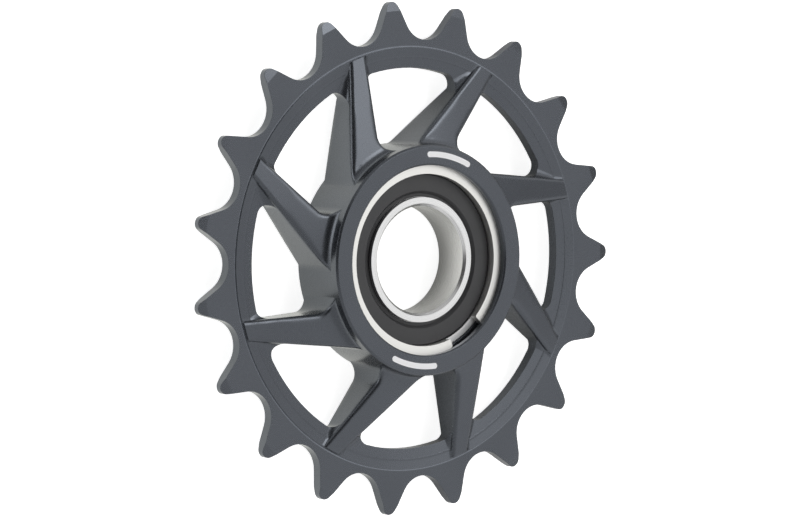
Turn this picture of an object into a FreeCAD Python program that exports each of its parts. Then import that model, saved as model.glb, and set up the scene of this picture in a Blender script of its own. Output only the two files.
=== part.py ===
import FreeCAD, Part
import math
import os
from FreeCAD import Vector

# Idler pulley for a half-inch bicycle chain: a one-piece machined wheel that turns on a sealed
# ball bearing, which a snap ring holds in the hub. Millimetres. The wheel lies on its rear face
# with its axis along +Z. The origin is on the axis, in the middle plane of the teeth.

# Chain and teeth
tooth_count = 19
chain_pitch = 12.7
chain_roller_diameter = 7.75
roller_clearance = 0.375
tooth_above_pitch = 2.12
tip_rounding = 1.125
tooth_thickness = 1.73
tip_thickness = 0.95
tip_bevel_length = 1.5

# Rim between the teeth and the windows
root_land = 1.255
band_width = 3.28
band_front_outer = 1.05
band_front_inner = 0.6
band_rear = 1.2

# Hub
hub_wall = 3.2
hub_rear = 4.0
hub_mouth_height = 1.1
hub_edge_chamfer = 0.3
rear_lip_thickness = 1.3
rear_lip_reach = 1.2
rear_lip_chamfer = 0.3

# Spokes
spoke_count = 8
spoke_hub_width = 7.16
spoke_rim_width = 3.33
spoke_hub_angle = 10.63
spoke_sweep = 18.65
spoke_end_gap = 0.18
spoke_front_at_rim = 1.25
spoke_front_at_hub = 4.15
spoke_rear_at_rim = 1.25
spoke_rear_at_hub = 3.7
spoke_front_rounding = 0.65
spoke_rear_chamfer = 0.4
window_hub_corner = 2.3
window_rim_corner = 1.75

# Hollow fillets at the feet of the spokes
hub_fillet = 1.5
hub_fillet_climb = 72.0
flank_fillet = 2.5
flank_fillet_least_rise = 0.1

# Ball bearing, a standard thin section size
bearing_bore = 17.0
bearing_outside = 30.0
bearing_width = 7.0
ring_chamfer = 0.3
bore_chamfer = 0.4
ball_count = 11
ball_diameter = 3.969
ball_clearance = 0.015
race_to_ball = 0.524
inner_end_below_pitch = 1.88
inner_land_below_pitch = 1.5
outer_land_above_pitch = 1.55
seal_seat_above_pitch = 1.9

# Seals, rubber moulded over a sheet steel washer
seal_insert_thickness = 0.3
seal_insert_inner_margin = 0.25
seal_insert_outer_margin = 0.45
seal_recess = 0.25
seal_lip_reach = 0.6
seal_lip_thickness = 0.3
seal_lip_clearance = 0.06
seal_step_width = 0.43
seal_step = 0.42
seal_bevel = 0.25
seal_cage_gap = 0.05

# Ball cage, two pressed halves welded together between the balls
cage_sheet = 0.35
cage_width = 1.6
cage_pocket_clearance = 0.065
cage_flank_lean = 30.0

# Snap ring and its groove
clip_thickness = 1.1
clip_reach = 1.4
clip_start_angle = -23.8
clip_end_angle = 310.6
clip_hook_angle = 301.5
clip_hook_inset = 0.1
clip_corner_rounding = 0.3
groove_depth = 0.75
groove_play = 0.05
mouth_chamfer = 0.25

# Allowances for cutting and joining
cut_overrun = 1.0
join_overlap = 0.03
join_depth = 0.5

os.makedirs("parts", exist_ok=True)

half_tooth = math.pi / tooth_count
pitch_radius = chain_pitch / (2 * math.sin(half_tooth))
root_radius = pitch_radius - chain_roller_diameter / 2
tip_radius = pitch_radius + tooth_above_pitch
seat_radius = chain_roller_diameter / 2 + roller_clearance
band_outer_radius = root_radius - root_land
band_inner_radius = band_outer_radius - band_width
spoke_end_radius = band_outer_radius - spoke_end_gap
seat_bore_radius = bearing_outside / 2
hub_outer_radius = seat_bore_radius + hub_wall
rear_lip_radius = seat_bore_radius - rear_lip_reach
groove_radius = seat_bore_radius + groove_depth
clip_inner_radius = seat_bore_radius - clip_reach
clip_hook_radius = seat_bore_radius - clip_hook_inset
bearing_rear = rear_lip_thickness - hub_rear
bearing_front = bearing_rear + bearing_width
hub_front = bearing_front + clip_thickness + hub_mouth_height
ball_height = bearing_rear + bearing_width / 2
ball_pitch_radius = (bearing_bore + bearing_outside) / 4
race_radius = ball_diameter * race_to_ball
race_reach = ball_diameter / 2 + ball_clearance
inner_race_centre = ball_pitch_radius - race_reach + race_radius
outer_race_centre = ball_pitch_radius + race_reach - race_radius
pocket_radius = ball_diameter / 2 + cage_pocket_clearance
cage_inner_radius = ball_pitch_radius - cage_width / 2
cage_outer_radius = ball_pitch_radius + cage_width / 2
inner_end_radius = ball_pitch_radius - inner_end_below_pitch
inner_land_radius = ball_pitch_radius - inner_land_below_pitch
outer_land_radius = ball_pitch_radius + outer_land_above_pitch
seal_seat_radius = ball_pitch_radius + seal_seat_above_pitch
seal_inner_radius = inner_end_radius + seal_lip_reach
seal_step_radius = seal_inner_radius + seal_step_width
seal_insert_inner_radius = seal_step_radius + seal_insert_inner_margin
seal_insert_outer_radius = seal_seat_radius - seal_insert_outer_margin
seal_face_height = bearing_width / 2 - seal_recess
seal_back_height = pocket_radius + cage_sheet + seal_cage_gap
axis = Vector(0, 0, 1)
origin = Vector(0, 0, 0)


def polar(radius, angle, height=0.0):
    """Point at a radius and an angle in degrees about the wheel's axis."""
    turn = math.radians(angle)
    return Vector(radius * math.cos(turn), radius * math.sin(turn), height)


def line(start, end):
    return Part.LineSegment(start, end).toShape()


def arc(start, middle, end):
    return Part.Arc(start, middle, end).toShape()


def turned(shape, angle):
    """Copy of a shape, turned about the wheel's axis."""
    copy = shape.copy()
    copy.rotate(origin, axis, angle)
    return copy


def revolve(points):
    """Solid of revolution from (radius, height) corners."""
    corners = [Vector(radius, 0, height) for radius, height in points]
    profile = Part.makePolygon(corners + [corners[0]])
    return Part.Face(profile).revolve(origin, axis, 360)


def prism(wire, low, high):
    """Upright solid over a closed plan outline, between two heights."""
    face = Part.Face(wire)
    face.translate(Vector(0, 0, low))
    return face.extrude(Vector(0, 0, high - low))


def through_wheel(radius):
    """Cylinder about the axis that runs past both faces of the hub."""
    low = -hub_rear - cut_overrun
    return Part.makeCylinder(radius, hub_front + cut_overrun - low, Vector(0, 0, low))


def save(shape, name):
    shape.exportStep("parts/" + name + ".step")


def tooth_outline():
    """Roller seats and rounded teeth, joined by lines that touch both arcs."""
    tip_centre = Vector(tip_radius - tip_rounding, 0, 0)
    seat_centre = polar(root_radius + seat_radius, math.degrees(half_tooth))
    reach = seat_centre - tip_centre
    bearing = math.atan2(reach.y, reach.x)
    normal_angle = bearing - math.acos((tip_rounding + seat_radius) / reach.Length)
    normal = Vector(math.cos(normal_angle), math.sin(normal_angle), 0)
    flank_top = tip_centre + normal * tip_rounding
    flank_foot = seat_centre - normal * seat_radius
    mirror_top = Vector(flank_top.x, -flank_top.y, 0)
    mirror_foot = Vector(flank_foot.x, -flank_foot.y, 0)
    pitch_angle = 360 / tooth_count
    edges = []
    for tooth in range(tooth_count):
        here = tooth * pitch_angle
        crest = arc(mirror_top, Vector(tip_radius, 0, 0), flank_top)
        flank = line(flank_top, flank_foot)
        next_foot = turned(Part.Vertex(mirror_foot), pitch_angle).Point
        next_top = turned(Part.Vertex(mirror_top), pitch_angle).Point
        seat = arc(flank_foot, polar(root_radius, pitch_angle / 2), next_foot)
        next_flank = line(next_foot, next_top)
        edges += [turned(edge, here) for edge in (crest, flank, seat, next_flank)]
    return Part.Wire(edges)


def toothed_ring():
    """Flat toothed plate whose tooth tips are bevelled on both faces."""
    half = tooth_thickness / 2
    tip_half = tip_thickness / 2
    bevel_start = tip_radius - tip_bevel_length
    beyond = tip_radius + cut_overrun
    slope = (half - tip_half) / tip_bevel_length
    rim_half = half - slope * (beyond - bevel_start)
    inside = (band_inner_radius + band_outer_radius) / 2
    plate = prism(tooth_outline(), -half, half)
    envelope = revolve([(inside, -half), (bevel_start, -half), (beyond, -rim_half),
                        (beyond, rim_half), (bevel_start, half), (inside, half)])
    return plate.common(envelope)


def spoke_edge(side):
    """Ends of a spoke's straight side in plan: at the hub and at the band's outer edge."""
    hub_turn = math.degrees(math.asin(spoke_hub_width / 2 / hub_outer_radius))
    rim_turn = math.degrees(math.asin(spoke_rim_width / 2 / band_outer_radius))
    hub_end = polar(hub_outer_radius, spoke_hub_angle + side * hub_turn)
    rim_end = polar(band_outer_radius, spoke_hub_angle - spoke_sweep + side * rim_turn)
    return hub_end, rim_end


def circle_crossing(start, end, radius):
    """Point where the line from start to end meets a circle about the axis."""
    along = (end - start).normalize()
    middle = -start.dot(along)
    foot = start + along * middle
    return foot + along * math.sqrt(radius ** 2 - foot.Length ** 2)


def window_outline(inner_radius, outer_radius, inner_corner, outer_corner):
    """Closed plan outline between one spoke and the next, with rounded corners."""
    spoke_pitch = 360 / spoke_count
    low_hub, low_rim = spoke_edge(1)
    high_hub, high_rim = [turned(Part.Vertex(p), spoke_pitch).Point for p in spoke_edge(-1)]
    a = circle_crossing(low_hub, low_rim, inner_radius)
    b = circle_crossing(low_hub, low_rim, outer_radius)
    c = circle_crossing(high_hub, high_rim, outer_radius)
    d = circle_crossing(high_hub, high_rim, inner_radius)
    rim_middle = (b + c).normalize() * outer_radius
    hub_middle = (a + d).normalize() * inner_radius
    sides = [line(a, b), arc(b, rim_middle, c), line(c, d), arc(d, hub_middle, a)]
    block = Part.Face(Part.Wire(sides)).extrude(axis)
    upright = [edge for edge in block.Edges if edge.BoundBox.ZLength > edge.BoundBox.XLength]
    half_way = (inner_radius + outer_radius) / 2
    at_rim = [edge for edge in upright if from_axis(edge.CenterOfMass) > half_way]
    at_hub = [edge for edge in upright if from_axis(edge.CenterOfMass) < half_way]
    block = block.makeFillet(outer_corner, at_rim)
    block = block.makeFillet(inner_corner, [match_edge(block, edge) for edge in at_hub])
    base = [face for face in block.Faces if abs(face.CenterOfMass.z) < 1e-6][0]
    return base.OuterWire


def from_axis(point):
    return math.hypot(point.x, point.y)


def match_edge(shape, wanted):
    """The edge of a shape that lies where another edge was."""
    centre = wanted.CenterOfMass
    return min(shape.Edges, key=lambda edge: (edge.CenterOfMass - centre).Length)


def spoke_height(radius, at_rim, at_hub):
    """Height of a spoke's face at a radius: a cone from the rim up to the hub."""
    share = (band_outer_radius - radius) / (band_outer_radius - hub_outer_radius)
    return at_rim + (at_hub - at_rim) * share


def front_height(radius):
    return spoke_height(radius, spoke_front_at_rim, spoke_front_at_hub)


def rear_height(radius):
    return -spoke_height(radius, spoke_rear_at_rim, spoke_rear_at_hub)


def band_height(radius):
    """Height of the band's front face at a radius: it falls a little towards the windows."""
    slope = (band_front_outer - band_front_inner) / band_width
    return band_front_outer - slope * (band_outer_radius - radius)


def spoke_disc(inside, beyond):
    """Coned disc whose front face curves up to meet the hub's wall."""
    lean = math.atan2(spoke_front_at_hub - spoke_front_at_rim,
                      band_outer_radius - hub_outer_radius)
    climb = math.radians(hub_fillet_climb)
    centre_radius = hub_outer_radius + hub_fillet * math.sin(climb)
    centre_height = front_height(centre_radius) + hub_fillet / math.cos(lean)

    def on_fillet(angle):
        return Vector(centre_radius - hub_fillet * math.sin(angle), 0,
                      centre_height - hub_fillet * math.cos(angle))

    foot, middle, head = on_fillet(lean), on_fillet((lean + climb) / 2), on_fillet(climb)
    top = Vector(inside, 0, head.z + (hub_outer_radius - inside) * math.tan(climb))
    rear_inside = Vector(inside, 0, rear_height(inside))
    rear_beyond = Vector(beyond, 0, rear_height(beyond))
    front_beyond = Vector(beyond, 0, front_height(beyond))
    edges = [line(top, head), arc(head, middle, foot), line(foot, front_beyond),
             line(front_beyond, rear_beyond), line(rear_beyond, rear_inside),
             line(rear_inside, top)]
    return Part.Face(Part.Wire(edges)).revolve(origin, axis, 360)


def spokes():
    """Swept spokes: a coned disc with rounded windows, kept inside the band's edge."""
    inside = hub_outer_radius - join_depth
    window_end = band_outer_radius + 2 * cut_overrun
    beyond = window_end + cut_overrun
    outline = window_outline(hub_outer_radius - join_overlap, window_end, window_hub_corner,
                             window_rim_corner / 2)
    cutter = prism(outline, -hub_rear - cut_overrun, hub_front + cut_overrun)
    disc = spoke_disc(inside, beyond)
    for place in range(spoke_count):
        disc = disc.cut(turned(cutter, place * 360 / spoke_count))
    front = []
    rear = []
    for face in disc.Faces:
        first_u, last_u, first_v, last_v = face.ParameterRange
        middle = ((first_u + last_u) / 2, (first_v + last_v) / 2)
        radius = from_axis(face.valueAt(*middle))
        is_wall = abs(face.normalAt(*middle).z) < 1e-6
        if is_wall and inside + 0.01 < radius < beyond - 0.01:
            for edge in face.Edges:
                heights = [vertex.Z for vertex in edge.Vertexes]
                if min(heights) > 0:
                    front.append(edge)
                elif max(heights) < 0:
                    rear.append(edge)
    disc = disc.makeChamfer(spoke_rear_chamfer, rear)
    disc = disc.makeFillet(spoke_front_rounding, [match_edge(disc, edge) for edge in front])
    return disc.common(through_wheel(spoke_end_radius))


def flank_rise(radius):
    """Height of a spoke's upright flank above the band, up to where its rounding starts."""
    return front_height(radius) - spoke_front_rounding - band_height(radius)


def flank_section(side, radius, rise):
    """Section of a hollow fillet where a spoke's flank crosses a radius."""
    start, end = spoke_edge(side)
    along = (end - start).normalize()
    away = axis.cross(along) * side
    corner = circle_crossing(start, end, radius)
    centre_height = flank_fillet - join_overlap
    width = math.sqrt(flank_fillet ** 2 - (centre_height - rise) ** 2)
    last_angle = math.asin(width / flank_fillet)

    def place(across, height):
        point = corner + away * (across - join_overlap)
        return Vector(point.x, point.y, band_height(from_axis(point)) + height)

    def on_fillet(angle):
        return place(width - flank_fillet * math.sin(angle),
                     centre_height - flank_fillet * math.cos(angle))

    base = -join_depth
    top, middle, toe = on_fillet(last_angle), on_fillet(last_angle / 2), on_fillet(0)
    edges = [arc(top, middle, toe), line(toe, place(width, base)),
             line(place(width, base), place(0, base)), line(place(0, base), top)]
    return Part.Wire(edges)


def flank_fillets():
    """Hollow fillets from both flanks of one spoke down to the band."""
    inner = band_inner_radius - 2 * window_rim_corner
    least = flank_fillet_least_rise
    fall = (flank_rise(inner) - flank_rise(band_outer_radius)) / (band_outer_radius - inner)
    low_from = inner + (flank_rise(inner) - least) / fall
    stations = [(inner, flank_rise(inner)), (low_from, least), (band_outer_radius, least)]
    fillets = []
    for side in (-1, 1):
        sections = [flank_section(side, radius, rise) for radius, rise in stations]
        fillets.append(Part.makeLoft(sections, True, True))
    return fillets


def rim_band():
    """Raised band inside the teeth, with the rim side of every window cut through it."""
    inner = band_inner_radius - 2 * window_rim_corner
    ring = revolve([(inner, -band_rear), (band_outer_radius, -band_rear),
                    (band_outer_radius, band_front_outer), (inner, band_height(inner))])
    keep = through_wheel(spoke_end_radius)
    fillets = [fillet.common(keep) for fillet in flank_fillets()]
    places = [place * 360 / spoke_count for place in range(spoke_count)]
    ring = ring.fuse([turned(fillet, angle) for fillet in fillets for angle in places])
    outline = window_outline(hub_outer_radius, band_inner_radius, window_hub_corner,
                             window_rim_corner)
    cutter = prism(outline, -hub_rear - cut_overrun, hub_front + cut_overrun)
    inside_band = through_wheel(band_inner_radius)
    core = inside_band.cut([turned(cutter, angle) for angle in places])
    outer = through_wheel(band_outer_radius + cut_overrun).cut(inside_band)
    return ring.common(outer.fuse(core))


def hub():
    """Turned hub: rear lip, bearing seat, snap ring groove and mouth."""
    lip_top = bearing_rear
    groove_low = bearing_front - groove_play
    groove_high = bearing_front + clip_thickness + groove_play
    seat = seat_bore_radius
    edge = hub_edge_chamfer
    return revolve([
        (rear_lip_radius + rear_lip_chamfer, -hub_rear), (hub_outer_radius - edge, -hub_rear),
        (hub_outer_radius, edge - hub_rear), (hub_outer_radius, hub_front - edge),
        (hub_outer_radius - edge, hub_front), (seat + mouth_chamfer, hub_front),
        (seat, hub_front - mouth_chamfer), (seat, groove_high), (groove_radius, groove_high),
        (groove_radius, groove_low), (seat, groove_low), (seat, lip_top),
        (rear_lip_radius, lip_top), (rear_lip_radius, rear_lip_chamfer - hub_rear)])


def idler_wheel():
    wheel = toothed_ring().fuse(rim_band())
    wheel = wheel.fuse(spokes())
    wheel = wheel.fuse(hub())
    return wheel.removeSplitter()


def outer_ring():
    """Outer ring with a seal seat at each end and a round groove for the balls."""
    low, high = bearing_rear, bearing_front
    outside = bearing_outside / 2
    seat_low = ball_height - seal_back_height
    seat_high = ball_height + seal_back_height
    ring = revolve([
        (seal_seat_radius, low), (outside - ring_chamfer, low), (outside, low + ring_chamfer),
        (outside, high - ring_chamfer), (outside - ring_chamfer, high), (seal_seat_radius, high),
        (seal_seat_radius, seat_high), (outer_land_radius, seat_high),
        (outer_land_radius, seat_low), (seal_seat_radius, seat_low)])
    groove = Part.makeTorus(outer_race_centre, race_radius, Vector(0, 0, ball_height))
    return ring.cut(groove)


def inner_ring():
    """Inner ring with a land between two lower ends, where the seals run."""
    low, high = bearing_rear, bearing_front
    bore = bearing_bore / 2
    land_low = ball_height - seal_back_height
    land_high = ball_height + seal_back_height
    ring = revolve([
        (bore + bore_chamfer, low), (inner_end_radius, low), (inner_end_radius, land_low),
        (inner_land_radius, land_low), (inner_land_radius, land_high),
        (inner_end_radius, land_high), (inner_end_radius, high), (bore + bore_chamfer, high),
        (bore, high - bore_chamfer), (bore, low + bore_chamfer)])
    groove = Part.makeTorus(inner_race_centre, race_radius, Vector(0, 0, ball_height))
    return ring.cut(groove)


def seal(side):
    """Moulded rubber seal: a flat washer, a step near its bore and a thin lip."""
    face = seal_face_height
    back = seal_back_height
    insert_top = back + seal_insert_thickness
    lip_top = back + seal_lip_thickness
    lip_radius = inner_end_radius + seal_lip_clearance
    points = [
        (lip_radius, back), (seal_insert_inner_radius, back),
        (seal_insert_inner_radius, insert_top), (seal_insert_outer_radius, insert_top),
        (seal_insert_outer_radius, back), (seal_seat_radius, back),
        (seal_seat_radius, face - seal_bevel), (seal_seat_radius - seal_bevel, face),
        (seal_step_radius, face), (seal_inner_radius, face - seal_step),
        (seal_inner_radius, lip_top), (lip_radius, lip_top)]
    return revolve([(radius, ball_height + side * height) for radius, height in points])


def seal_insert(side):
    """Flat steel washer in the back of a seal."""
    low, high = seal_back_height, seal_back_height + seal_insert_thickness
    inner, outer = seal_insert_inner_radius, seal_insert_outer_radius
    points = [(inner, low), (outer, low), (outer, high), (inner, high)]
    return revolve([(radius, ball_height + side * height) for radius, height in points])


def ball(number):
    centre = polar(ball_pitch_radius, number * 360 / ball_count, ball_height)
    return Part.makeSphere(ball_diameter / 2, centre, axis, -90, 90, 360)


def cage_half(side):
    """Pressed ribbon: a flat strip with an arch over one side of every ball."""
    flat = Part.makeCylinder(cage_outer_radius, cage_sheet)
    band = Part.makeCylinder(cage_outer_radius, pocket_radius + cage_sheet)
    hole = Part.makeCylinder(cage_inner_radius, pocket_radius + 2 * cage_sheet)
    arches = []
    tunnels = [hole]
    for number in range(ball_count):
        angle = number * 360 / ball_count
        arches.append(turned(cage_arch(pocket_radius + cage_sheet), angle))
        tunnels.append(turned(cage_arch(pocket_radius), angle))
    half = flat.fuse(band.common(Part.makeCompound(arches))).cut(tunnels).removeSplitter()
    if side < 0:
        half.rotate(origin, Vector(1, 0, 0), 180)
    half.translate(Vector(0, 0, ball_height))
    return half


def cage_arch(radius):
    """Solid under a flat crown and two leaning flanks that all touch a circle of this radius."""
    lean = math.radians(cage_flank_lean)
    start = cage_inner_radius - cage_sheet
    foot = radius / math.cos(lean)
    crown = radius * math.tan((math.pi / 2 - lean) / 2)
    corners = [Vector(start, -foot, 0), Vector(start, foot, 0),
               Vector(start, crown, radius), Vector(start, -crown, radius)]
    outline = Part.makePolygon(corners + [corners[0]])
    length = cage_outer_radius - start + cage_sheet
    return Part.Face(outline).extrude(Vector(length, 0, 0))


def retaining_clip():
    """Open flat ring: one end square, the other cut back outside to free a corner."""
    outside = groove_radius - groove_play
    middle_angle = (clip_start_angle + clip_end_angle) / 2
    start_inner = polar(clip_inner_radius, clip_start_angle)
    start_outer = polar(outside, clip_start_angle)
    hook_outer = polar(outside, clip_hook_angle)
    nose = polar(clip_hook_radius, clip_end_angle)
    end_inner = polar(clip_inner_radius, clip_end_angle)
    edges = [
        line(start_inner, start_outer),
        arc(start_outer, polar(outside, middle_angle), hook_outer),
        line(hook_outer, nose),
        line(nose, end_inner),
        arc(end_inner, polar(clip_inner_radius, middle_angle), start_inner)]
    clip = prism(Part.Wire(edges), bearing_front, bearing_front + clip_thickness)
    upright = [edge for edge in clip.Edges if edge.BoundBox.ZLength > edge.BoundBox.XLength]
    return clip.makeFillet(clip_corner_rounding, upright)


save(idler_wheel(), "idler_wheel")
save(retaining_clip(), "retaining_clip")
save(outer_ring(), "bearing_outer_ring")
save(inner_ring(), "bearing_inner_ring")
save(seal(1), "front_seal")
save(seal(-1), "rear_seal")
save(seal_insert(1), "front_seal_insert")
save(seal_insert(-1), "rear_seal_insert")
save(cage_half(1), "cage_front_half")
save(cage_half(-1), "cage_rear_half")
for number in range(ball_count):
    save(ball(number), "ball_%02d" % (number + 1))
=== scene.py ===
import math
import bpy
import numpy as np
from mathutils import Matrix, Vector


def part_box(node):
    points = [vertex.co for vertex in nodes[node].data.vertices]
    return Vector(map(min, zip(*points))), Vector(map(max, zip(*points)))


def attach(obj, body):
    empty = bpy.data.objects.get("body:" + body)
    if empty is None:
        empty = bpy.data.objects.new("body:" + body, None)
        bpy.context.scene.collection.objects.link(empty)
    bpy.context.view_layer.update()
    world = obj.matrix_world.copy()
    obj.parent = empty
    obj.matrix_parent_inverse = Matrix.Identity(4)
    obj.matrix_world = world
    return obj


# An idler pulley for a bicycle chain, lying on its hub's rear face: dark anodised wheel,
# sealed bearing and snap ring. Its axis is Z. Lengths are metres, angles are degrees.

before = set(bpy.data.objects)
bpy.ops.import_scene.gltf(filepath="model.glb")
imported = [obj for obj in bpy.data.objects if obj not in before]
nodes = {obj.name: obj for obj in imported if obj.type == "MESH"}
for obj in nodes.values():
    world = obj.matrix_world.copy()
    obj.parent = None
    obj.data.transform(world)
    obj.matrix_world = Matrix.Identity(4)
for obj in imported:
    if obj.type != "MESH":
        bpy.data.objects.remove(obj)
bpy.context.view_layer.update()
mm = 0.001
print("frame loaded:", len(nodes), "nodes")


def skyDirection(azimuth, elevation):
    # unit vector with this azimuth, from +X, and this height above level
    azimuth, elevation = math.radians(azimuth), math.radians(elevation)
    return Vector((math.cos(elevation) * math.cos(azimuth),
                   math.cos(elevation) * math.sin(azimuth), math.sin(elevation)))


# Camera, set by where it stands around the wheel

cameraSettings = {
    "lens": 222.5,           # millimetres, as is the sensor's width
    "sensor": 36.0,
    "target": (-0.626 * mm, -0.155 * mm, -0.497 * mm),
    "distance": 0.78256,
    "azimuth": -166.432,     # where the camera stands, seen from above, from +X
    "elevation": 52.804,
    "roll": 94.648,          # turned about its own line of sight, so the wheel looks upright
    "farthest": 20.0,        # what is further off isn't drawn
}


def placeCamera(settings):
    back = skyDirection(settings["azimuth"], settings["elevation"])
    level = Vector((0, 0, 1)).cross(back).normalized()
    upright = back.cross(level)
    roll = math.radians(settings["roll"])
    right = level * math.cos(roll) + upright * math.sin(roll)
    up = back.cross(right)
    data = bpy.data.cameras.new("camera")
    data.lens = settings["lens"]
    data.sensor_width = settings["sensor"]
    data.clip_end = settings["farthest"]
    camera = bpy.data.objects.new("camera", data)
    place = Vector(settings["target"]) + back * settings["distance"]
    turn = Matrix((right, up, back)).transposed().to_4x4()
    camera.matrix_world = Matrix.Translation(place) @ turn
    bpy.context.scene.collection.objects.link(camera)
    bpy.context.scene.camera = camera


placeCamera(cameraSettings)
print("camera placed")


# Meshes from grids

def gridMesh(name, points, closed=False):
    # points is an array (rows, columns, 3): neighbours in the grid are joined by quads, and
    # a closed grid also joins its last row to its first
    rows, columns = points.shape[:2]
    index = np.arange(rows * columns).reshape(rows, columns)
    here = index if closed else index[:-1]
    after = np.roll(index, -1, axis=0) if closed else index[1:]
    quads = np.stack([here[:, :-1], after[:, :-1], after[:, 1:], here[:, 1:]], axis=-1)
    mesh = bpy.data.meshes.new(name)
    mesh.from_pydata(points.reshape(-1, 3).tolist(), [], quads.reshape(-1, 4).tolist())
    mesh.validate()
    return mesh


def addPiece(name, mesh, body, material):
    piece = bpy.data.objects.new(name, mesh)
    bpy.context.scene.collection.objects.link(piece)
    mesh.materials.append(material)
    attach(piece, body)


# Node helpers

colourSockets = {"low": 6, "high": 7, "blend": 2}   # on a Mix node, where labels repeat
noiseMiddle = (0.3, 0.7)                            # most of a noise lies between these


def newGroup(name, inputs, outputs):
    group = bpy.data.node_groups.new(name, "ShaderNodeTree")
    for side, labels in (("INPUT", inputs), ("OUTPUT", outputs)):
        for label in labels:
            group.interface.new_socket(label, in_out=side, socket_type="NodeSocketFloat")
    start = group.nodes.new("NodeGroupInput")
    end = group.nodes.new("NodeGroupOutput")
    return group, start, end


def addNode(tree, kind, **settings):
    node = tree.nodes.new(kind)
    for key, value in settings.items():
        setattr(node, key, value)
    return node


def setInputs(node, **values):
    for key, value in values.items():
        node.inputs[key.replace("_", " ")].default_value = value
    return node


def useGroup(tree, group, **values):
    node = addNode(tree, "ShaderNodeGroup", node_tree=group)
    return setInputs(node, **values)


def startMaterial(name):
    material = bpy.data.materials.new(name)
    material.use_nodes = True
    tree = material.node_tree
    shader = tree.nodes["Principled BSDF"]
    return material, tree, shader


def calculate(tree, operation, first, second=None):
    node = addNode(tree, "ShaderNodeMath", operation=operation)
    for socket, value in zip(node.inputs, (first, second)):
        if isinstance(value, (int, float)):
            socket.default_value = value
        elif value is not None:
            tree.links.new(value, socket)
    return node.outputs[0]


def dotProduct(tree, vector, fixed):
    product = addNode(tree, "ShaderNodeVectorMath", operation="DOT_PRODUCT")
    tree.links.new(vector, product.inputs[0])
    product.inputs[1].default_value = fixed
    return product.outputs["Value"]


def mapRange(tree, value, start, end, low, high, kind="LINEAR"):
    node = addNode(tree, "ShaderNodeMapRange", interpolation_type=kind)
    setInputs(node, From_Min=start, From_Max=end, To_Min=low, To_Max=high)
    tree.links.new(value, node.inputs["Value"])
    return node.outputs[0]


def smoothStep(tree, value, start, end, low, high):
    return mapRange(tree, value, start, end, low, high, "SMOOTHSTEP")


def spread(tree, noise, low, high):
    # stretches the middle of a noise over a range
    return mapRange(tree, noise, *noiseMiddle, low, high)


def blendColours(tree, mask, low, high):
    mix = addNode(tree, "ShaderNodeMix", data_type="RGBA")
    mix.inputs[colourSockets["low"]].default_value = (*low, 1)
    mix.inputs[colourSockets["high"]].default_value = (*high, 1)
    tree.links.new(mask, mix.inputs["Factor"])
    return mix.outputs[colourSockets["blend"]]


def scaleColour(tree, colour, amount):
    scale = addNode(tree, "ShaderNodeVectorMath", operation="SCALE")
    tree.links.new(colour, scale.inputs[0])
    tree.links.new(amount, scale.inputs["Scale"])
    return scale.outputs[0]


def objectPlace(tree):
    return addNode(tree, "ShaderNodeTexCoord").outputs["Object"]


def splitPlace(tree):
    split = addNode(tree, "ShaderNodeSeparateXYZ")
    tree.links.new(objectPlace(tree), split.inputs[0])
    return [split.outputs[label] for label in "XYZ"]


def axisDistance(tree):
    # length of the place's level part
    flat = addNode(tree, "ShaderNodeVectorMath", operation="MULTIPLY")
    tree.links.new(objectPlace(tree), flat.inputs[0])
    flat.inputs[1].default_value = (1, 1, 0)
    reach = addNode(tree, "ShaderNodeVectorMath", operation="LENGTH")
    tree.links.new(flat.outputs[0], reach.inputs[0])
    return reach.outputs["Value"]


# Effects that several finishes share

grainSettings = {
    "roughness": 0.55,
    "details": {"Grain": 3, "Drift": 2},
}
turningSettings = {
    "roughness": 0.5,
    "detail": 2,
    "wander": 0.6,             # how fast the rings change round the axis
}


def addNoise(group, place, size, output, detail, roughness):
    noise = addNode(group, "ShaderNodeTexNoise", noise_dimensions="3D")
    setInputs(noise, Detail=detail, Roughness=roughness)
    group.links.new(place, noise.inputs["Vector"])
    group.links.new(calculate(group, "DIVIDE", 1.0, size), noise.inputs["Scale"])
    group.links.new(noise.outputs["Fac"], output)


def makeGrainGroup(settings):
    # fine even grain of a blasted or moulded surface, and a slow drift over the piece
    labels = list(settings["details"])
    group, start, end = newGroup("fineGrain", [label + " size" for label in labels], labels)
    place = objectPlace(group)
    for label, detail in settings["details"].items():
        addNoise(group, place, start.outputs[label + " size"], end.inputs[label],
                 detail, settings["roughness"])
    return group


def makeTurningGroup(settings):
    # fine rings left by a lathe: noise read along the radius and the height, and slowly
    # along the angle
    group, start, end = newGroup("turningMarks", ["Ring spacing", "Wander"], ["Rings"])
    spacing = start.outputs["Ring spacing"]
    x, y, z = splitPlace(group)
    wander = calculate(group, "MULTIPLY", calculate(group, "ARCTAN2", y, x),
                       start.outputs["Wander"])
    sideways = calculate(group, "MULTIPLY", wander, spacing)
    along = addNode(group, "ShaderNodeCombineXYZ")
    for value, socket in zip((axisDistance(group), z, sideways), along.inputs):
        group.links.new(value, socket)
    addNoise(group, along.outputs[0], spacing, end.inputs["Rings"],
             settings["detail"], settings["roughness"])
    return group


fineGrain = makeGrainGroup(grainSettings)
turningMarks = makeTurningGroup(turningSettings)


def bump(tree, shader, height, depth, normal=None):
    node = addNode(tree, "ShaderNodeBump")
    setInputs(node, Strength=1.0, Distance=depth)
    tree.links.new(height, node.inputs["Height"])
    if normal is not None:
        tree.links.new(normal, node.inputs["Normal"])
    tree.links.new(node.outputs["Normal"], shader.inputs["Normal"])


# Dark anodised aluminium of the wheel

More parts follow.
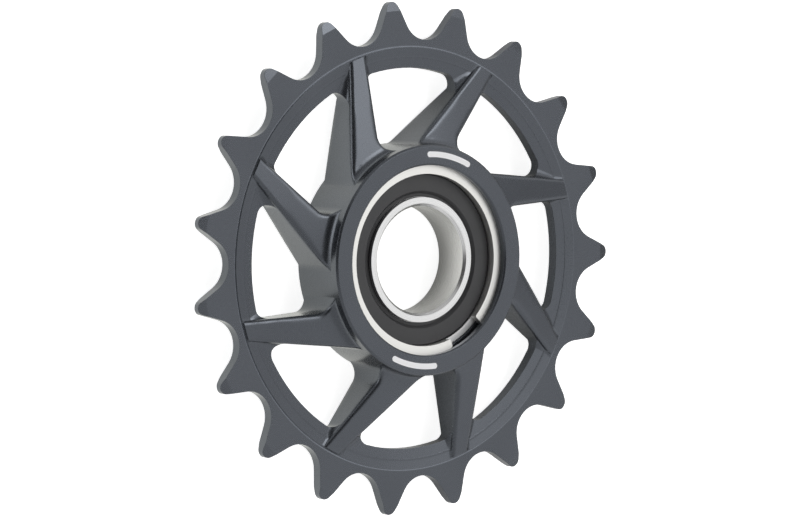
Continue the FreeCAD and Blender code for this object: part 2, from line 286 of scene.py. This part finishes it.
anodisedSettings = {
    "dark": (0.0775, 0.0845, 0.0965),
    "light": (0.0925, 0.1005, 0.1145),
    "metallic": 0.8,
    "roughness": (0.22, 0.3),
    "grainSize": 0.12 * mm,
    "driftSize": 12.0 * mm,
    "depth": 0.0018 * mm,
    "edges": {                 # sharp edges look rounded off, the spokes' more than the others
        "narrow": 0.09 * mm,
        "wide": 1.2 * mm,
        "between": (18.4 * mm, 28.0 * mm),
        "fade": 3.0 * mm,
        "samples": 16,
    },
    "paintedHighlight": {                # a painted highlight brightens the colour along the edge of the step round the rim band
        "radius": 33.56 * mm,
        "half": 0.12 * mm,
        "times": 2.7,
    },
}


def softEdges(tree, settings):
    # a normal that rounds sharp edges off, further between two distances from the axis
    reach = axisDistance(tree)
    inner, outer = settings["between"]
    more = settings["wide"] - settings["narrow"]
    rise = smoothStep(tree, reach, inner, inner + settings["fade"], 0.0, more)
    fall = smoothStep(tree, reach, outer - settings["fade"], outer, 0.0, more)
    wider = calculate(tree, "SUBTRACT", rise, fall)
    soft = addNode(tree, "ShaderNodeBevel", samples=settings["samples"])
    tree.links.new(calculate(tree, "ADD", wider, settings["narrow"]), soft.inputs["Radius"])
    return soft.outputs["Normal"]


def paintedHighlightRing(tree, colour, settings):
    # painted highlight: the colour is brightest at one distance from the axis, and fades over
    # half the ring's width
    away = calculate(tree, "SUBTRACT", axisDistance(tree), settings["radius"])
    times = smoothStep(tree, calculate(tree, "ABSOLUTE", away), 0.0, settings["half"],
                       settings["times"], 1.0)
    return scaleColour(tree, colour, times)


def makeAnodised(settings):
    material, tree, shader = startMaterial("anodisedAluminium")
    grain = useGroup(tree, fineGrain, Grain_size=settings["grainSize"],
                     Drift_size=settings["driftSize"])
    colour = blendColours(tree, grain.outputs["Drift"], settings["dark"], settings["light"])
    # painted highlight along the edge of the rim band's step
    colour = paintedHighlightRing(tree, colour, settings["paintedHighlight"])
    tree.links.new(colour, shader.inputs["Base Color"])
    roughness = spread(tree, grain.outputs["Grain"], *settings["roughness"])
    tree.links.new(roughness, shader.inputs["Roughness"])
    shader.inputs["Metallic"].default_value = settings["metallic"]
    bump(tree, shader, grain.outputs["Grain"], settings["depth"],
         softEdges(tree, settings["edges"]))
    return material


# Steels of the snap ring and the bearing, each with fine rings round the axis

ringBack, ringFront = [corner.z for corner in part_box("bearing_inner_ring")]
steelSettings = {
    "satinClipSteel": {
        "dark": (0.7, 0.695, 0.67),
        "light": (0.82, 0.815, 0.79),
        "roughness": (0.4, 0.5),
        "spacing": 0.12 * mm,
        "depth": 0.002 * mm,
    },
    "groundRingSteel": {
        "dark": (0.62, 0.62, 0.62),
        "light": (0.78, 0.78, 0.78),
        "roughness": (0.2, 0.32),
        "spacing": 0.06 * mm,
        "depth": 0.001 * mm,
        "bore": {              # painted shade: the colour is darker inside these radii
            "radii": (8.55 * mm, 8.8 * mm),
            "heights": (ringBack, ringFront),
            "left": (0.45, 1.0),     # share of the colour that is left at these heights
        },
    },
    "satinRingSteel": {
        "dark": (0.56, 0.56, 0.56),
        "light": (0.72, 0.72, 0.72),
        "roughness": (0.34, 0.44),
        "spacing": 0.06 * mm,
        "depth": 0.001 * mm,
    },
    "polishedBallSteel": {
        "dark": (0.7, 0.7, 0.71),
        "light": (0.76, 0.76, 0.77),
        "roughness": (0.06, 0.1),
        "spacing": 0.4 * mm,
        "depth": 0.0001 * mm,
    },
    "pressedSheetSteel": {
        "dark": (0.45, 0.44, 0.42),
        "light": (0.58, 0.57, 0.54),
        "roughness": (0.3, 0.45),
        "spacing": 0.5 * mm,
        "depth": 0.002 * mm,
    },
}


def paintBoreShade(tree, colour, settings):
    # painted shade inside the ground bore: its colour is darkest at the rear and keeps its
    # full tone at the front
    height = splitPlace(tree)[2]
    left = smoothStep(tree, height, *settings["heights"], *settings["left"])
    taken = calculate(tree, "SUBTRACT", 1.0, left)
    inside = smoothStep(tree, axisDistance(tree), *settings["radii"], 1.0, 0.0)
    amount = calculate(tree, "SUBTRACT", 1.0, calculate(tree, "MULTIPLY", taken, inside))
    return scaleColour(tree, colour, amount)


def makeSteel(name, settings):
    material, tree, shader = startMaterial(name)
    turning = useGroup(tree, turningMarks, Ring_spacing=settings["spacing"],
                       Wander=turningSettings["wander"])
    rings = turning.outputs["Rings"]
    colour = blendColours(tree, rings, settings["dark"], settings["light"])
    # painted shade deep in the bore
    if "bore" in settings:
        colour = paintBoreShade(tree, colour, settings["bore"])
    tree.links.new(colour, shader.inputs["Base Color"])
    tree.links.new(spread(tree, rings, *settings["roughness"]), shader.inputs["Roughness"])
    shader.inputs["Metallic"].default_value = 1.0
    bump(tree, shader, rings, settings["depth"])
    return material


# Rubber of the seals and white printing: the settings name the noise that each property reads

rubberSettings = {
    "dark": (0.024, 0.024, 0.026),
    "light": (0.04, 0.04, 0.042),
    "colourReads": "Drift",
    "roughness": (0.42, 0.55),
    "roughnessReads": "Grain",
    "grainSize": 0.15 * mm,
    "driftSize": 6.0 * mm,
    "depth": 0.004 * mm,
}
paintSettings = {
    "dark": (0.84, 0.84, 0.85),
    "light": (0.92, 0.92, 0.93),
    "colourReads": "Grain",
    "roughness": (0.5, 0.6),
    "roughnessReads": "Drift",
    "grainSize": 0.1 * mm,
    "driftSize": 3.0 * mm,
    "depth": 0.003 * mm,
}


def makeGrained(name, settings):
    material, tree, shader = startMaterial(name)
    grain = useGroup(tree, fineGrain, Grain_size=settings["grainSize"],
                     Drift_size=settings["driftSize"]).outputs
    colour = blendColours(tree, grain[settings["colourReads"]], settings["dark"],
                          settings["light"])
    tree.links.new(colour, shader.inputs["Base Color"])
    roughness = spread(tree, grain[settings["roughnessReads"]], *settings["roughness"])
    tree.links.new(roughness, shader.inputs["Roughness"])
    bump(tree, shader, grain["Grain"], settings["depth"])
    return material


# Which piece has which finish

anodised = makeAnodised(anodisedSettings)
steels = {name: makeSteel(name, settings) for name, settings in steelSettings.items()}
rubber = makeGrained("sealRubber", rubberSettings)
paint = makeGrained("whitePaint", paintSettings)

finishes = {
    "idler_wheel": anodised,
    "retaining_clip": steels["satinClipSteel"],
    "bearing_outer_ring": steels["satinRingSteel"],
    "bearing_inner_ring": steels["groundRingSteel"],
    "front_seal": rubber,
    "rear_seal": rubber,
    "front_seal_insert": steels["pressedSheetSteel"],
    "rear_seal_insert": steels["pressedSheetSteel"],
    "cage_front_half": steels["pressedSheetSteel"],
    "cage_rear_half": steels["pressedSheetSteel"],
}
# the balls aren't in the list
for name, node in nodes.items():
    node.data.materials.clear()
    node.data.materials.append(finishes.get(name, steels["polishedBallSteel"]))
print("finishes assigned")


# White marks on the hub's front face

markSettings = {
    "radius": 16.7 * mm,
    "width": 0.9 * mm,
    "proud": 0.012 * mm,
    "sections": 97,            # along each mark
    "spans": {"upperMark": (81.2, 111.2), "lowerMark": (263.2, 294.2)},
}


def markMesh(name, settings, span, faceHeight):
    # a bar bent along a circle: v goes along it, and its half width is that of a circle near
    # each end, so both ends are round; u goes round the bar's flat section
    radius, half = settings["radius"], settings["width"] / 2
    first, last = [math.radians(end) for end in span]
    inset = half / radius
    turn = (1 - np.cos(np.linspace(0, math.pi, settings["sections"]))) / 2
    angle = first + (last - first) * turn
    near = np.clip(np.minimum(angle - first, last - angle) / inset, 0, 1)
    reach = half * np.sqrt(1 - (1 - near) ** 2)
    side = np.array([-1, 1, 1, -1])[:, None]
    level = np.array([-1, -1, 1, 1])[:, None]
    out = radius + side * reach
    height = np.broadcast_to(faceHeight + level * settings["proud"], out.shape)
    points = np.stack([out * np.cos(angle), out * np.sin(angle), height], axis=-1)
    return gridMesh(name, points, closed=True)


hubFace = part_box("idler_wheel")[1].z
for name, span in markSettings["spans"].items():
    addPiece(name, markMesh(name, markSettings, span, hubFace), "wheel",
             paint)
print("marks made")


# Floor, world and lamps

stageSettings = {
    "floorSize": 6.0,
    "floorGap": 0.02 * mm,     # under the hub's rear face, so the two don't share a plane
    "floorColour": (0.8, 0.8, 0.79),
    "floorRoughness": 0.9,
    "floorWhite": 0.84,        # glow that the camera sees, so the floor reads as white
    "mirrored": {              # the glow as metal reflects it, fading between two places
        "towards": 13.6,       # that lie in this direction
        "from": -14.0 * mm,
        "to": 12.0 * mm,
        "near": 1.1,
        "far": 0.2,
        "colour": (1.0, 1.0, 0.93),
    },
    "room": 1.03,
    "panels": [                # bright patches: azimuth and elevation, half width, soft edge
        {"towards": (74.0, 56.0), "half": 9.0, "edge": 18.0, "strength": 1.85},
        {"towards": (174.0, -2.0), "half": 12.0, "edge": 11.0, "strength": 2.2},
    ],
    "shades": [                # patches that take light away, most of it on the camera's side
        {"towards": (178.0, 43.0), "half": 16.0, "edge": 19.0, "depth": 0.95},
        {"towards": (140.0, 62.0), "half": 17.0, "edge": 19.0, "depth": 0.93},
        {"towards": (-115.0, 40.0), "half": 26.0, "edge": 34.0, "depth": 0.3},
        {"towards": (110.0, 12.0), "half": 18.0, "edge": 24.0, "depth": 0.45},
        {"towards": (24.0, 18.0), "half": 9.0, "edge": 14.0, "depth": 0.6},
    ],
    "lamps": {
        "keyLamp": {"place": (0.2, 0.9, 1.2), "size": 0.5, "power": 2.0},
    },
}


def mirroredGlow(tree, settings):
    along = dotProduct(tree, objectPlace(tree), skyDirection(settings["towards"], 0))
    return smoothStep(tree, along, settings["from"], settings["to"],
                      settings["near"], settings["far"])


def floorMesh(settings):
    # a level square on a grid of three rows of three points
    half = settings["floorSize"] / 2
    across, along = np.meshgrid((-half, 0, half), (-half, 0, half))
    height = np.full_like(across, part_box("idler_wheel")[0].z - settings["floorGap"])
    return gridMesh("floor", np.stack([across, along, height], axis=-1))


def floorMaterial(settings):
    material, tree, shader = startMaterial("paleFloor")
    shader.inputs["Base Color"].default_value = (*settings["floorColour"], 1)
    shader.inputs["Roughness"].default_value = settings["floorRoughness"]
    light = addNode(tree, "ShaderNodeLightPath").outputs
    white = calculate(tree, "MULTIPLY", light["Is Camera Ray"], settings["floorWhite"])
    mirrored = calculate(tree, "MULTIPLY", light["Is Glossy Ray"],
                         mirroredGlow(tree, settings["mirrored"]))
    colour = blendColours(tree, light["Is Glossy Ray"], (1, 1, 1),
                          settings["mirrored"]["colour"])
    glow = addNode(tree, "ShaderNodeEmission")
    tree.links.new(colour, glow.inputs["Color"])
    tree.links.new(calculate(tree, "ADD", white, mirrored), glow.inputs["Strength"])
    both = addNode(tree, "ShaderNodeAddShader")
    tree.links.new(shader.outputs[0], both.inputs[0])
    tree.links.new(glow.outputs[0], both.inputs[1])
    tree.links.new(both.outputs[0], tree.nodes["Material Output"].inputs["Surface"])
    return material


def makeFloor(settings):
    mesh = floorMesh(settings)
    mesh.materials.append(floorMaterial(settings))
    floor = bpy.data.objects.new("floor", mesh)
    bpy.context.scene.collection.objects.link(floor)


def patchMask(tree, direction, settings):
    # one inside a cone of directions, fading to nothing over its soft edge
    nearness = dotProduct(tree, direction, skyDirection(*settings["towards"]))
    outside, inside = [math.cos(math.radians(angle))
                       for angle in (settings["half"] + settings["edge"], settings["half"])]
    return smoothStep(tree, nearness, outside, inside, 0.0, 1.0)


def makeWorld(settings):
    world = bpy.data.worlds.new("studio")
    bpy.context.scene.world = world
    world.use_nodes = True
    tree = world.node_tree
    direction = addNode(tree, "ShaderNodeTexCoord").outputs["Generated"]
    light = settings["room"]
    for panel in settings["panels"]:
        mask = patchMask(tree, direction, panel)
        light = calculate(tree, "ADD", calculate(tree, "MULTIPLY", mask, panel["strength"]),
                          light)
    for shade in settings["shades"]:
        taken = calculate(tree, "MULTIPLY", patchMask(tree, direction, shade), shade["depth"])
        light = calculate(tree, "MULTIPLY", light, calculate(tree, "SUBTRACT", 1.0, taken))
    # the camera itself sees at least plain white
    seen = addNode(tree, "ShaderNodeLightPath").outputs["Is Camera Ray"]
    background = tree.nodes["Background"]
    tree.links.new(calculate(tree, "MAXIMUM", light, seen), background.inputs["Strength"])
    background.inputs["Color"].default_value = (1, 1, 1, 1)


def makeLamp(name, settings):
    data = bpy.data.lights.new(name, "AREA")
    data.shape = "SQUARE"
    data.size = settings["size"]
    data.energy = settings["power"]
    lamp = bpy.data.objects.new(name, data)
    place = Vector(settings["place"])
    lamp.location = place
    lamp.rotation_euler = place.to_track_quat("Z", "Y").to_euler()
    bpy.context.scene.collection.objects.link(lamp)


makeFloor(stageSettings)
makeWorld(stageSettings)
for name, settings in stageSettings["lamps"].items():
    makeLamp(name, settings)
bpy.context.scene.view_settings.view_transform = "Standard"
print("stage set")
